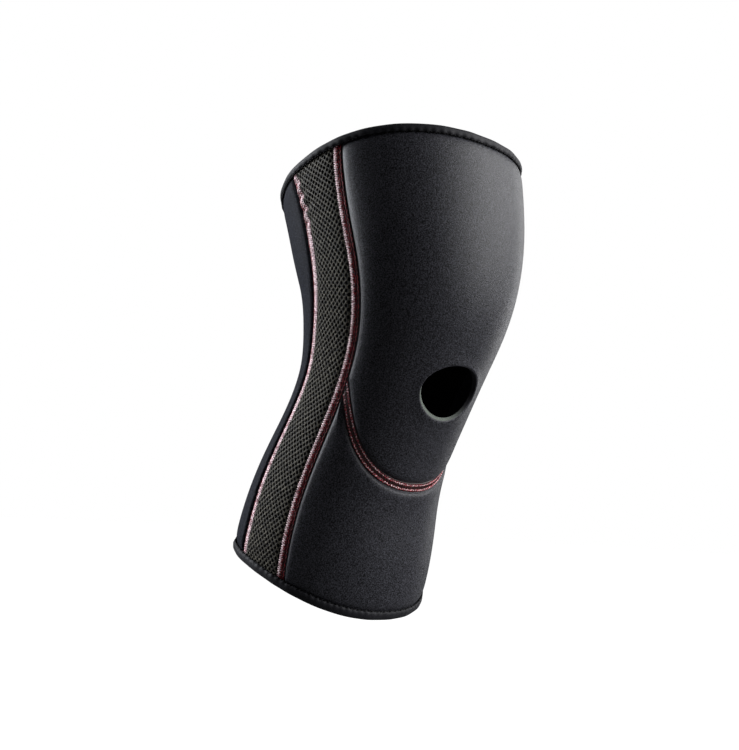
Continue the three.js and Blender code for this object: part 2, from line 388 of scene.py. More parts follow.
def closer_at_ends(total, near, far):
    """Shares from 0 to 1 of a length, whose steps are near long at both ends and far long between."""
    edge = np.arange(0, FINE_MARGIN, near)
    steps = max(2, round((total - 2 * FINE_MARGIN) / far))
    middle = np.linspace(FINE_MARGIN, total - FINE_MARGIN, steps + 1)
    return np.concatenate([edge, middle, total - edge[::-1]]) / total


def loft(name, loops, ring):
    """A closed mesh through closed loops of points. The first half of an open mesh's loop faces out."""
    count, size = loops.shape[:2]
    corners = np.arange(count * size).reshape(count, size)
    if ring:
        corners = np.vstack([corners, corners[:1]])
    here = corners[:-1]
    there = corners[1:]
    sides = [here, np.roll(here, -1, axis=1), np.roll(there, -1, axis=1), there]
    quads = np.stack(sides, axis=-1).reshape(-1, 4)
    if not ring:
        half = size // 2
        front = np.arange(half - 1)
        back = size - 1 - front
        last = (count - 1) * size
        low = np.stack([front + 1, front, back, back - 1], axis=-1)
        high = np.stack([front, front + 1, back - 1, back], axis=-1) + last
        quads = np.vstack([quads, low, high])
    mesh = bpy.data.meshes.new(name)
    mesh.from_pydata(loops.reshape(-1, 3).tolist(), [], quads.tolist())
    mesh.shade_smooth()
    return placed(name, mesh)


def slab(name, outer, inner, ring=False):
    """A sheet with thickness, from its outer and inner grids of points."""
    return loft(name, np.concatenate([outer, inner[:, ::-1]], axis=1), ring)


def give(piece, *materials):
    for material in materials:
        piece.data.materials.append(material)
    return piece


def joined(name, pieces):
    """One object made of several."""
    first = pieces[0]
    with bpy.context.temp_override(active_object=first, selected_editable_objects=pieces):
        bpy.ops.object.join()
    first.name = name
    first.data.name = name
    return first


# Node trees


def node(tree, kind, settings=None, inputs=None):
    """A node with its settings, and its inputs set or linked by name or number."""
    made = tree.nodes.new(kind)
    for name, value in (settings or {}).items():
        setattr(made, name, value)
    for name, value in (inputs or {}).items():
        if isinstance(value, bpy.types.NodeSocket):
            tree.links.new(value, made.inputs[name])
        else:
            made.inputs[name].default_value = value
    return made


def times(tree, first, second):
    """The product of two values, each a number or a socket."""
    return node(tree, "ShaderNodeMath", {"operation": "MULTIPLY"}, {0: first, 1: second}).outputs[0]


def geometry_tree(name, sizes, materials):
    """A Geometry Nodes tree with named inputs, and its group input and output nodes."""
    tree = bpy.data.node_groups.new(name, "GeometryNodeTree")
    tree.interface.new_socket("Geometry", in_out="INPUT", socket_type="NodeSocketGeometry")
    tree.interface.new_socket("Geometry", in_out="OUTPUT", socket_type="NodeSocketGeometry")
    for size in sizes:
        tree.interface.new_socket(size, in_out="INPUT", socket_type="NodeSocketFloat")
    for material in materials:
        tree.interface.new_socket(material, in_out="INPUT", socket_type="NodeSocketMaterial")
    return tree, node(tree, "NodeGroupInput"), node(tree, "NodeGroupOutput")


def send_out(tree, result, geometry, material):
    """Makes instances real, gives them their material and sends them to the tree's output."""
    real = node(tree, "GeometryNodeRealizeInstances", inputs={0: geometry})
    values = {"Geometry": real.outputs[0], "Material": material}
    painted = node(tree, "GeometryNodeSetMaterial", inputs=values)
    tree.links.new(painted.outputs[0], result.inputs["Geometry"])


def run_tree(piece, tree, values):
    """The piece as a plain mesh, put through a Geometry Nodes tree whose named inputs have given values."""
    modifier = piece.modifiers.new(tree.name, "NODES")
    modifier.node_group = tree
    for item in tree.interface.items_tree:
        if item.in_out == "INPUT" and item.name in values:
            modifier[item.identifier] = values[item.name]
    piece.update_tag()
    graph = bpy.context.evaluated_depsgraph_get()
    mesh = bpy.data.meshes.new_from_object(piece.evaluated_get(graph))
    piece.modifiers.clear()
    piece.data = mesh
    return piece


def shaded(name, colour, roughness, specular, sheen=0.0, sheen_roughness=0.5, sheen_tint=(1, 1, 1, 1)):
    """A cloth material, its node tree and its shader."""
    material = bpy.data.materials.new(name)
    material.use_nodes = True
    shader = material.node_tree.nodes["Principled BSDF"]
    values = {
        "Base Color": (*colour, 1),
        "Roughness": roughness,
        "Specular IOR Level": specular,
        "Sheen Weight": sheen,
        "Sheen Roughness": sheen_roughness,
        "Sheen Tint": sheen_tint,
    }
    for socket, value in values.items():
        shader.inputs[socket].default_value = value
    return material, material.node_tree, shader


def object_noise(tree, scale, detail=2.0, roughness=0.5, stretch=(1, 1, 1), lean=0.0):
    """Noise in the object's own coordinates, stretched and then leaned about X."""
    place = node(tree, "ShaderNodeTexCoord").outputs["Object"]
    values = {"Vector": place, "Scale": stretch, "Rotation": (lean, 0, 0)}
    squeeze = node(tree, "ShaderNodeMapping", {"vector_type": "TEXTURE"}, values)
    spot = squeeze.outputs["Vector"]
    values = {"Vector": spot, "Scale": scale, "Detail": detail, "Roughness": roughness}
    return node(tree, "ShaderNodeTexNoise", inputs=values).outputs["Fac"]


def mottled(tree, shader, factor, dark, light):
    """The shader's colour, between two colours by a factor."""
    values = {0: factor, 6: (*dark, 1), 7: (*light, 1)}
    mix = node(tree, "ShaderNodeMix", {"data_type": "RGBA"}, values)
    tree.links.new(mix.outputs[2], shader.inputs["Base Color"])


def bumped(tree, shader, height, strength, distance=0.0002):
    """The shader's relief, from a height."""
    values = {"Height": height, "Strength": strength, "Distance": distance}
    bump = node(tree, "ShaderNodeBump", inputs=values)
    tree.links.new(bump.outputs["Normal"], shader.inputs["Normal"])


def spread(tree, factor, low, high):
    """A factor stretched so that low becomes 0 and high becomes 1."""
    values = {"Value": factor, "From Min": low, "From Max": high}
    return node(tree, "ShaderNodeMapRange", inputs=values).outputs["Result"]


def scaled(colour, factor):
    return tuple(min(1.0, part * factor) for part in colour)


# Materials


def grained(name, base, gloss, grain, shades, relief):
    """A cloth whose grain gives its relief, and its shades from dark to light between two heights."""
    material, tree, shader = shaded(name, base, *gloss)
    height = object_noise(tree, *grain)
    low, high, dark, light = shades
    mottled(tree, shader, spread(tree, height, low, high), scaled(base, dark), scaled(base, light))
    bumped(tree, shader, height, relief)
    return material


def jersey_material(name, base, roughness, specular):
    """The neoprene's brushed jersey face."""
    gloss = (roughness, specular, 0.02, 0.3, (0.9, 0.93, 1, 1))
    return grained(name, base, gloss, (1400, 3, 0.7), (0.4, 0.66, 0.05, 2.7), 1.0)


def foam_and_shade_material(colours):
    """The neoprene's cut edge: its foam shows at one side of the patella hole, and elsewhere it is painted
    shade in the jersey's dark colour.
    """
    base = tuple(colours.foam)
    material, tree, shader = shaded("foam edge", base, 0.9, 0.2)
    pores = object_noise(tree, 3000)
    # Painted shade: where this share is 0, the cut face takes the jersey's dark colour instead of the
    # foam's.
    foam_out_of_shade = node(tree, "ShaderNodeAttribute", {"attribute_name": "foam_out_of_shade"})
    share = times(tree, foam_out_of_shade.outputs["Fac"], spread(tree, pores, 0.2, 0.6))
    mottled(tree, shader, share, scaled(tuple(colours.neoprene), 0.5), base)
    bumped(tree, shader, pores, 0.4)
    return material


def netting_material(colours):
    """The netting's yarn, with slantwise streaks of grain whose pale ends also paint the strands'
    highlights.
    """
    # Partly painted highlights: the streaks run from a fifth to over three times the yarn's colour, which
    # paints the strands' highlights as well as their grain.
    grain_and_highlights = (1300, 2, 0.65, (1, 1, 3), math.radians(45))
    base = tuple(colours.netting)
    return grained("netting yarn", base, (0.7, 0.15, 0.04, 0.4), grain_and_highlights, (0.42, 0.68, 0.2, 3.6), 0.6)


def lining_material(colours):
    """The dark cloth behind the netting."""
    return grained("netting lining", tuple(colours.lining), (0.95, 0.1), (2000,), (0, 1, 0.6, 1.5), 0.0)


def edging_material(colours):
    """The smooth folded edging."""
    gloss = (0.6, 0.1, 0.01, 0.35)
    return grained("folded edging", tuple(colours.edging), gloss, (1800,), (0.35, 0.7, 0.6, 1.8), 0.35)


def thread_material(name, base, specular=0.4, pale_from=0.55):
    """Sewing thread whose shade varies from stitch to stitch, and is palest from a given brightness."""
    material, tree, shader = shaded(name, base, 0.42, specular)
    shade = node(tree, "ShaderNodeAttribute", {"attribute_name": "shade"})
    fibres = object_noise(tree, 4500, 1)
    dark = (0.4 * base[0], 0.22 * base[1], 0.25 * base[2])
    shades = spread(tree, times(tree, shade.outputs["Fac"], fibres), 0.1, pale_from)
    mottled(tree, shader, shades, dark, scaled(base, 1.5))
    bumped(tree, shader, fibres, 0.4, 0.0001)
    return material


# Neoprene panels


# The long panels' length and width when their steps are laid out
PANEL_LENGTH = 0.25
PANEL_WIDTH = 0.17

# The padding in the back panel and in the netting as shares of the front's, and the share of the pull that
# the netting takes up
BACK_PADDING = 0.4
NET_PADDING = 0.5
NET_PULL = 0.5


def long_panel(leg, name, left, right, low, high, top, wall, material):
    """A sheet between two lines along the leg and two lines across it."""
    rises = closer_at_ends(PANEL_LENGTH, 0.0011, 0.0014)
    turns = closer_at_ends(PANEL_WIDTH, 0.0007, 0.0026)
    up, across = np.meshgrid(rises, turns, indexing="ij")
    rise = np.zeros_like(up)
    for _ in range(8):
        turn = left(rise) * (1 - across) + right(rise) * across
        rise = low(turn) * (1 - up) + high(turn) * up
    outer = leg.point(rise, turn, top(rise, turn))
    return give(slab(name, outer, leg.point(rise, turn, -wall)), material)


def front_face(leg, rise, turn):
    """How far out the face of the front and shin panels lies."""
    beside = np.minimum(leg.from_side_seams(rise, turn), leg.from_knee_seam(rise, turn))
    return leg.pulled(rise, turn, beside, leg.sizes.padding)


def shin_panel(leg, jersey):
    return long_panel(
        leg,
        "shin_cloth",
        lambda rise: -leg.front_seam(rise),
        leg.front_seam,
        leg.low_edge,
        leg.knee_seam,
        lambda rise, turn: front_face(leg, rise, turn),
        leg.sizes.neoprene_wall,
        jersey,
    )


def back_panel(leg, jersey):
    padding = BACK_PADDING * leg.sizes.padding
    return long_panel(
        leg,
        "back_cloth",
        leg.rear_seam,
        lambda rise: 2 * math.pi - leg.rear_seam(rise),
        leg.low_edge,
        leg.high_edge,
        lambda rise, turn: leg.pulled(rise, turn, leg.from_side_seams(rise, turn), padding),
        leg.sizes.neoprene_wall,
        jersey,
    )


# How far apart the points of the front panel's edge are, and how far from the hole and from the seams the
# points near them lie
FRONT_STEP = 0.0019
NEAR_HOLE = np.array([0, 0.0003, 0.0007, 0.0012, 0.0018, 0.0026, 0.0036, 0.0048, 0.006])
NEAR_SEAM = np.arange(0, 0.0095, 0.0007)[::-1]


def front_outline(leg):
    """The front panel's edge as rises and turns, from the middle of its right side round by the top."""
    corner_turn = float(leg.front_seam(leg.sizes.thigh_reach - leg.sizes.binding_roll))
    corner_rise = float(leg.high_edge(corner_turn))
    low_turn = float(leg.seam_end_turn)
    low_rise = float(leg.knee_seam(low_turn))

    def stretch(start, end, run):
        return np.linspace(start, end, max(3, round(run / FRONT_STEP)), endpoint=False)

    right = stretch(0, corner_rise, corner_rise)
    across = stretch(corner_turn, -corner_turn, 2 * corner_turn * leg.radius)
    left = stretch(corner_rise, low_rise, corner_rise - low_rise)
    under = stretch(-low_turn, low_turn, 2.4 * low_turn * leg.radius)
    last = stretch(low_rise, 0, -low_rise)
    rises = (right, leg.high_edge(across), left, leg.knee_seam(under), last)
    turns = (leg.front_seam(right), across, -leg.front_seam(left), under, leg.front_seam(last))
    return np.concatenate(rises), np.concatenate(turns)


def hole_climb(leg):
    """How much longer the front of the knee is than the leg's axis, at the patella hole."""
    step = 0.005
    ends = leg.face(np.array([step, -step]), np.array([0.0, 0.0]))
    return float(np.linalg.norm(ends[0] - ends[1])) / (2 * step)


def front_panel(leg, jersey, foam):
    """The thigh and knee panel, a ring of cloth round the patella hole whose cut lip is turned in."""
    sizes = leg.sizes
    rises, turns = front_outline(leg)
    angle = np.arctan2(rises * hole_climb(leg), turns * leg.radius)

    def hole(grow):
        rise = (sizes.hole_height / 2 + grow) * np.sin(angle) / hole_climb(leg)
        side = (sizes.hole_width / 2 + grow) * np.cos(angle) / leg.half_width(rise)
        return rise, np.sign(side) * np.arcsin(np.abs(side) ** (1 / SQUARENESS))

    turned = (0.5 - 0.5 * np.sin(angle + 0.35)) ** 1.2
    rim_rise, rim_turn = hole(0)
    reach = np.hypot(rises - rim_rise, (turns - rim_turn) * leg.radius)
    reach = reach[:, None]
    between = np.linspace(0, 1, 34)[1:-1]
    middle = NEAR_HOLE[-1] + between * (reach - NEAR_HOLE[-1] - NEAR_SEAM[0])
    from_hole = np.concatenate([NEAR_HOLE + 0 * reach, middle, reach - NEAR_SEAM], axis=1)
    shares = from_hole / reach

    def spread_from(*starts):
        ends = zip(starts, (rises, turns))
        return [start[:, None] * (1 - shares) + end[:, None] * shares for start, end in ends]

    rise, turn = spread_from(rim_rise, rim_turn)
    swell = 0.0006 * fading(from_hole, 0.004) - 0.0005 * fading(from_hole, 0.0004)
    outer = leg.point(rise, turn, front_face(leg, rise, turn) + swell)
    inner_rise, inner_turn = spread_from(*hole(-sizes.hole_lip * turned))
    rolled = 0.6 * turned[:, None] * fading(from_hole, 0.003)
    inner = leg.point(inner_rise, inner_turn, -sizes.neoprene_wall * (1 - rolled))
    lip = [outer[:, 0] * (1 - share) + inner[:, 0] * share for share in (0.2, 0.4, 0.6, 0.8)]
    loops = np.concatenate([outer, inner[:, ::-1], np.stack(lip[::-1], axis=1)], axis=1)
    piece = give(loft("front_cloth", loops, True), jersey, foam)
    size = loops.shape[1]
    cut = np.zeros(loops.shape[:2], int)
    cut[:, -len(lip) - 1 :] = 1
    piece.data.polygons.foreach_set("material_index", cut.ravel())
    # Painted shade: the cut face shows its foam towards -X and at the bottom of the hole, and is painted
    # dark elsewhere, where its inner wall would lie in shadow.
    foam_out_of_shade = np.repeat(np.clip(0.75 - 1.1 * np.sin(angle + 1.2), 0, 1), size)
    piece.data.attributes.new("foam_out_of_shade", "FLOAT", "POINT").data.foreach_set("value", foam_out_of_shade)
    return piece


class KNEE_SLEEVE_OT_panels(bpy.types.Operator):
    """Make the three neoprene panels"""

    bl_idname = "knee_sleeve.panels"
    bl_label = "Neoprene Panels"

    def execute(self, context):
        leg = Leg(context.scene.knee_sleeve_sizes)
        colours = context.scene.knee_sleeve_colours
        jersey = jersey_material("brushed jersey", tuple(colours.neoprene), 0.36, 0.1)
        back_jersey = jersey_material("back jersey", tuple(colours.back_neoprene), 0.65, 0.03)
        front = front_panel(leg, jersey, foam_and_shade_material(colours))
        shin = shin_panel(leg, jersey)
        back = back_panel(leg, back_jersey)
        for piece, solid in ((front, "front_panel"), (shin, "shin_panel"), (back, "back_panel")):
            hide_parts(solid)
            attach(piece, "root")
        return {"FINISHED"}


# Netting strips


def netting_tree():
    """Turns each face of a sheet into one mesh of netting: a frame of yarn round an open hole."""
    tree, given, result = geometry_tree("netting", ("Hole", "Yarn Depth"), ("Yarn",))
    values = {"Mesh": given.outputs["Geometry"], "Offset Scale": 0.0, "Individual": True}
    frames = node(tree, "GeometryNodeExtrudeMesh", {"mode": "FACES"}, values)
    top = frames.outputs["Top"]
    values = {"Geometry": frames.outputs["Mesh"], "Selection": top, "Scale": given.outputs["Hole"]}
    holes = node(tree, "GeometryNodeScaleElements", {"domain": "FACE"}, values)
    depth = times(tree, given.outputs["Yarn Depth"], -1.0)
    mesh = holes.outputs["Geometry"]
    values = {"Mesh": mesh, "Selection": top, "Offset Scale": depth, "Individual": True}
    walls = node(tree, "GeometryNodeExtrudeMesh", {"mode": "FACES"}, values)
    values = {"Geometry": walls.outputs["Mesh"], "Selection": walls.outputs["Top"]}
    opened = node(tree, "GeometryNodeDeleteGeometry", {"domain": "FACE", "mode": "ALL"}, values)
    values = {"Mesh": opened.outputs["Geometry"], "Level": 1}
    rounded = node(tree, "GeometryNodeSubdivisionSurface", inputs=values)
    smooth = node(tree, "GeometryNodeSetShadeSmooth", inputs={0: rounded.outputs["Mesh"]})
    send_out(tree, result, smooth.outputs[0], given.outputs["Yarn"])
    return tree


def strip_way(leg, rise):
    """Turns from the front seam to the rear seam, and how far round the leg each is from their middle."""
    turns = np.linspace(float(leg.front_seam(rise)), float(leg.rear_seam(rise)), 81)
    runs = travelled(leg.face(rise, turns))
    return runs - runs[-1] / 2, turns


def netting_face(leg, rise, turn):
    """How far out the netting's face lies."""
    padding = NET_PADDING * leg.sizes.padding
    pulled = leg.pulled(rise, turn, leg.from_side_seams(rise, turn), padding)
    return NET_PULL * pulled - leg.sizes.netting_sink


# The corners of a hole as columns and rows from its middle, and how many columns there can be on each side
DIAMOND = ((-1, 0), (0, -1), (1, 0), (0, 1))
COLUMNS = 14


def netting_lattice(leg, side):
    """The sheet of the netting as diamond faces, one for each hole."""
    sizes = leg.sizes
    half = sizes.net_pitch / 2
    middle = math.pi / 2
    low = float(leg.low_edge(middle))
    high = float(leg.high_edge(middle))
    rows = range(round(low / sizes.net_row) - 1, round(high / sizes.net_row) + 2)
    ways = {row: strip_way(leg, row * sizes.net_row) for row in rows}
    corners = {}
    spots = []

    def corner(column, row):
        if (column, row) not in corners:
            corners[column, row] = len(spots)
            distances, turns = ways[row]
            edge = distances[-1] - CLOTH_GAP
            turn = np.interp(np.clip(column * half, -edge, edge), distances, turns)
            rise = np.clip(row * sizes.net_row, low, high)
            spots.append((rise, side * turn))
        return corners[column, row]

    faces = []
    for row in rows[1:-1]:
        edge = ways[row][0][-1]
        for column in range(-COLUMNS, COLUMNS + 1):
            if (column + row) % 2 and abs(column) * half < edge:
                face = [corner(column + across, row + up) for across, up in DIAMOND]
                faces.append(face if side > 0 else face[::-1])
    rise, turn = np.array(spots).T
    mesh = bpy.data.meshes.new("netting")
    mesh.from_pydata(leg.point(rise, turn, netting_face(leg, rise, turn)).tolist(), [], faces)
    return placed("netting", mesh)


def netting_strip(leg, side, word, tree, yarn, dark):
    """The netting and the dark lining behind it, on the -X side or the +X side."""
    sizes = leg.sizes
    values = {"Hole": sizes.net_hole, "Yarn Depth": YARN_DEPTH, "Yarn": yarn}
    net = run_tree(netting_lattice(leg, side), tree, values)
    net.name = f"netting_{word}"
    first, last = (leg.front_seam, leg.rear_seam)[::side]
    lining = long_panel(
        leg,
        f"netting_lining_{word}",
        lambda rise: side * first(rise),
        lambda rise: side * last(rise),
        leg.low_edge,
        leg.high_edge,
        lambda rise, turn: netting_face(leg, rise, turn) - YARN_ABOVE * YARN_DEPTH,
        sizes.netting_sink + sizes.netting_wall,
        dark,
    )
    return net, lining


class KNEE_SLEEVE_OT_netting(bpy.types.Operator):
    """Make the netting strips at both sides"""

    bl_idname = "knee_sleeve.netting"
    bl_label = "Netting Strips"

    def execute(self, context):
        leg = Leg(context.scene.knee_sleeve_sizes)
        colours = context.scene.knee_sleeve_colours
        yarn = netting_material(colours)
        dark = lining_material(colours)
        tree = netting_tree()
        for side, word in SIDES:
            for piece in netting_strip(leg, side, word, tree, yarn, dark):
                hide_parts(f"side_mesh_{word}")
                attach(piece, "root")
        return {"FINISHED"}


# Stitches


def stitch_tree():
    """Lays one short arched thread on each point of a guide, along its own direction."""
    sizes = ("Length", "Arch", "Radius", "Seed")
    tree, given, result = geometry_tree("stitches", sizes, ("Thread",))

    def random(low, high, seed):
        values = {2: low, 3: high, "Seed": seed}
        return node(tree, "FunctionNodeRandomValue", {"data_type": "FLOAT"}, values).outputs[1]

    def direction_on_guide(name):
        settings = {"data_type": "FLOAT_VECTOR"}
        return node(tree, "GeometryNodeInputNamedAttribute", settings, {"Name": name}).outputs["Attribute"]

    def corner(axis, size, share):
        return node(tree, "ShaderNodeCombineXYZ", inputs={axis: times(tree, size, share)}).outputs[0]

    length_given = given.outputs["Length"]
    values = {
        "Resolution": 4,
        "Start": corner("X", length_given, -0.5),
        "Middle": corner("Z", given.outputs["Arch"], 2.0),
        "End": corner("X", length_given, 0.5),
    }
    arc = node(tree, "GeometryNodeCurveQuadraticBezier", inputs=values)
    values = {"Resolution": 6, "Radius": given.outputs["Radius"]}
    section = node(tree, "GeometryNodeCurvePrimitiveCircle", inputs=values)
    values = {"Curve": arc.outputs[0], "Profile Curve": section.outputs["Curve"], "Fill Caps": True}
    thread = node(tree, "GeometryNodeCurveToMesh", inputs=values)
    smooth = node(tree, "GeometryNodeSetShadeSmooth", inputs={0: thread.outputs[0]})
    axes = {"primary_axis": "Z", "secondary_axis": "X"}
    values = {0: direction_on_guide("out"), 1: direction_on_guide("along")}
    facing = node(tree, "FunctionNodeAxesToRotation", axes, values)
    seed = given.outputs["Seed"]
    values = {
        "Points": given.outputs["Geometry"],
        "Instance": smooth.outputs[0],
        "Rotation": facing.outputs[0],
        "Scale": random(0.9, 1.08, seed),
    }
    laid = node(tree, "GeometryNodeInstanceOnPoints", inputs=values)
    other_seed = node(tree, "ShaderNodeMath", {"operation": "ADD"}, {0: seed, 1: 7.0}).outputs[0]
    settings = {"data_type": "FLOAT", "domain": "INSTANCE"}
    values = {"Geometry": laid.outputs[0], "Name": "shade", "Value": random(0.12, 1.15, other_seed)}
    marked = node(tree, "GeometryNodeStoreNamedAttribute", settings, values)
    send_out(tree, result, marked.outputs[0], given.outputs["Thread"])
    return tree


# One row of stitches in a seam: where its middle lies across the seam as a share of the seam's width, the
# stitches' length, pitch and thickness as shares of that width, how far they are turned from the seam's
# direction, whether they lean to both sides in turn, and their thread
Row = namedtuple("Row", "across length pitch radius tilt zigzag thread")


def stitch_guide(place, row, width, level):
    """A mesh of points along a seam, each with the direction of its stitch and the way out of the cloth."""

    def on_row(share, out=level):
        return place(share, row.across * width, out)

    shares = np.linspace(0, 1, 1600)
    runs = travelled(on_row(shares))
    count = int(runs[-1] / (row.pitch * width))
    at = np.interp((np.arange(count) + 0.5) * runs[-1] / count, runs, shares)
    spots = on_row(at)
    forward = unit(on_row(at + 0.001) - on_row(at - 0.001))
    out = unit(on_row(at, level + 0.002) - spots)
    sideways = np.cross(out, forward)
    lean = np.where(np.arange(count) % 2, 1, -1) if row.zigzag else np.ones(count)
    tilt = np.radians(row.tilt) * lean
    along = forward * np.cos(tilt)[:, None] + sideways * np.sin(tilt)[:, None]
    mesh = bpy.data.meshes.new("guide")
    mesh.from_pydata(spots.tolist(), [], [])
    for name, values in (("along", along), ("out", out)):
        mesh.attributes.new(name, "FLOAT_VECTOR", "POINT").data.foreach_set("vector", values.ravel())
    return placed("guide", mesh)


def stitch_rows(place, rows, width, level, tree, materials, seed):
    """The stitches of several rows, one object for each row."""
    made = []
    for number, row in enumerate(rows):
        values = {
            "Length": row.length * width,
            "Arch": 0.6 * row.radius * width,
            "Radius": row.radius * width,
            "Seed": float(seed + number),
            "Thread": materials[row.thread],
        }
        made.append(run_tree(stitch_guide(place, row, width, level), tree, values))
    return made


# Flat seams

FRONT_SEAM_ROWS = (
    Row(-0.27, 0.42, 0.12, 0.06, 62, True, "pale"),
    Row(-0.16, 0.34, 0.31, 0.066, 50, True, "red"),
    Row(0.04, 0.28, 0.24, 0.042, 30, True, "red"),
    Row(0.28, 0.28, 0.24, 0.042, 30, True, "red"),
)
REAR_SEAM_ROWS = (
    Row(-0.14, 0.62, 0.11, 0.06, 68, True, "pale"),
    Row(-0.04, 0.48, 0.41, 0.066, 56, True, "red"),
    Row(0.34, 0.3, 0.17, 0.042, 26, True, "red"),
)
# The pale rows in the knee seam are painted highlights: their flecks stand for the glints on the red
# threads.
KNEE_SEAM_ROWS = (
    Row(-0.31, 0.22, 0.33, 0.036, 24, False, "red"),
    Row(-0.18, 0.22, 0.33, 0.036, -24, False, "red"),
    Row(-0.24, 0.2, 0.29, 0.037, 30, True, "pale"),
    Row(0.0, 0.24, 0.2, 0.028, 60, True, "under"),
    Row(0.18, 0.22, 0.33, 0.036, 24, False, "red"),
    Row(0.31, 0.22, 0.33, 0.036, -24, False, "red"),
    Row(0.24, 0.2, 0.27, 0.037, 30, True, "pale"),
)


# The rounding of the strip under a seam's stitches, its thickness, and how far they lie above it
STRIP_ROUNDING = 0.0003
STRIP_WALL = 0.0004
STITCH_LIFT = 0.0002

# How deep the seams lie as shares of the groove, where the long ones end under the hems as a share of a
# hem, and how far before a front seam's middle the knee seam ends as a share of its width
KNEE_SEAM_SINK = 1.2
LONG_SEAM_SINK = 0.95
UNDER_HEM = 0.6
KNEE_SEAM_STOP = 0.46

# How far apart the seeds of two seams' stitches are
SEED_STEP = 20


def seam_strip(leg, place, level, material):
    """The dark strip of cloth and thread under a seam's stitches."""
    width = leg.sizes.seam_width
    shares = np.linspace(0, 1, 200)
    across = np.linspace(-0.5, 0.5, 9) * width
    rounding = -STRIP_ROUNDING * np.abs(across / (width / 2)) ** 6
    outer = [place(shares, spot, level + lower) for spot, lower in zip(across, rounding)]
    inner = [place(shares, spot, level - STRIP_WALL) for spot in across]
    return give(slab("strip", np.stack(outer, axis=1), np.stack(inner, axis=1)), material)


def long_seam_place(leg, side, seam):
    """Where a seam along the leg lies. It is measured across from the netting to the neoprene."""
    sizes = leg.sizes
    towards = -side if seam is leg.front_seam else side
    middle = side * float(seam(0.0))
    low = float(leg.calf_end(middle)) + UNDER_HEM * sizes.bottom_hem
    high = float(leg.thigh_end(middle)) - UNDER_HEM * sizes.top_hem

    def place(share, across, out):
        rise = low + (high - low) * share
        tilted = out - 0.5 * sizes.groove * across / sizes.seam_width
        return leg.point(rise, side * seam(rise) + towards * leg.turn_for(across, rise), tilted)

    return place


def knee_seam_place(leg):
    """Where the knee seam lies. It is measured across from the shin up."""
    end = float(leg.seam_end_turn) - float(leg.turn_for(KNEE_SEAM_STOP * leg.sizes.seam_width, 0.0))

    def place(share, across, out):
        turn = end * (2 * share - 1)
        rise = leg.knee_seam(turn) + across * leg.knee_seam_slant(turn)
        return leg.point(rise, turn, out)

    return place


class KNEE_SLEEVE_OT_seams(bpy.types.Operator):
    """Sew the five flat seams"""

    bl_idname = "knee_sleeve.seams"
    bl_label = "Flat Seams"

    def execute(self, context):
        leg = Leg(context.scene.knee_sleeve_sizes)
        colours = context.scene.knee_sleeve_colours
        # The pale thread is real in the long seams, and paints highlights in the knee seam.
        materials = {
            "pale": thread_material("pale thread", tuple(colours.pale_thread_and_glints), pale_from=0.36),
            "red": thread_material("red thread", tuple(colours.red_thread), 0.5),
            "under": thread_material("seam underlay", scaled(tuple(colours.red_thread), 0.12)),
        }
        tree = stitch_tree()
        sizes = leg.sizes
        seams = [("knee_seam", knee_seam_place(leg), KNEE_SEAM_ROWS, KNEE_SEAM_SINK)]
        for side, word in SIDES:
            front = long_seam_place(leg, side, leg.front_seam)
            seams.append((f"front_seam_{word}", front, FRONT_SEAM_ROWS, LONG_SEAM_SINK))
            rear = long_seam_place(leg, side, leg.rear_seam)
            seams.append((f"rear_seam_{word}", rear, REAR_SEAM_ROWS, LONG_SEAM_SINK))
        for number, (name, place, rows, sink) in enumerate(seams):
            level = -sink * sizes.groove
            strip = seam_strip(leg, place, level, materials["under"])
            lifted = level + STITCH_LIFT
            seed = SEED_STEP * number
            stitches = stitch_rows(place, rows, sizes.seam_width, lifted, tree, materials, seed)
            piece = joined(f"stitched_{name}", [strip, *stitches])
            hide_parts(name)
            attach(piece, "root")
        return {"FINISHED"}


# Bindings


# How deep the gathers wave the edging's hem and its face, and how far the face is uneven and swells
HEM_WAVE = 0.00022
FACE_WAVE = 0.00006
UNEVENNESS = 0.00018
FACE_SWELL = 0.0002

# Points across the outer hem, in from its edge and out of its face, and across the inner one
OUTER_HEM = ((0, -0.0012), (0.0003, -0.0006), (0.001, -0.0001), (0.002, 0.0003))
INNER_HEM = (0.0026, 0.0013, 0.0004, 0)


def binding_fold(leg, end, up, depth, material):
    """The edging folded over an end of the sleeve, its outer hem gathered by the stitches."""
    sizes = leg.sizes
    turn = -up * np.linspace(0, 2 * math.pi, 720, endpoint=False)
    gather = np.cos(turn * round(ROUND_END * sizes.knee_width / 2 / sizes.hem_pitch))
    uneven = UNEVENNESS * np.sin(turn * 23 + 1.3 * np.sin(5 * turn))
    middle = sizes.neoprene_wall / 2 + CLOTH_GAP
    arch = np.linspace(0, math.pi, 13)

    def fold(skin, hem, pinch):
        outside = middle + skin
        spots = []

        def place(out, below):
            rise = end(turn) - up * below
            spots.append(leg.point(rise, turn, out - sizes.neoprene_wall / 2))

        for inward, out in OUTER_HEM:
            wave = FACE_WAVE * gather * (out < OUTER_HEM[-1][1])
            place(outside + out + pinch * (uneven + wave), hem - inward)
        for angle in arch:
            lift = (sizes.binding_roll - sizes.binding_skin + skin) * math.sin(angle)
            swell = (FACE_SWELL + pinch * uneven) * (math.cos(angle) > 0)
            place((outside + swell) * math.cos(angle), sizes.binding_roll - lift)
        for inward in INNER_HEM:
            place(-outside, depth - inward)
        return np.stack(spots, axis=1)

    hem = depth + HEM_WAVE * gather
    return give(slab("fold", fold(sizes.binding_skin, hem, 1), fold(0.0, hem, 0), ring=True), material)


def hem_place(leg, end, up, depth):
    """Where the stitches beside an end's hem lie. It is measured across from the hem into the cloth."""

    def place(share, across, out):
        turn = 2 * math.pi * share
        return leg.point(end(turn) - up * (depth + 0.0004 + across), turn, out)

    return place


BINDING_ROWS = (Row(-0.04, 0.22, 0.413, 0.05, 14, False, "black"),)


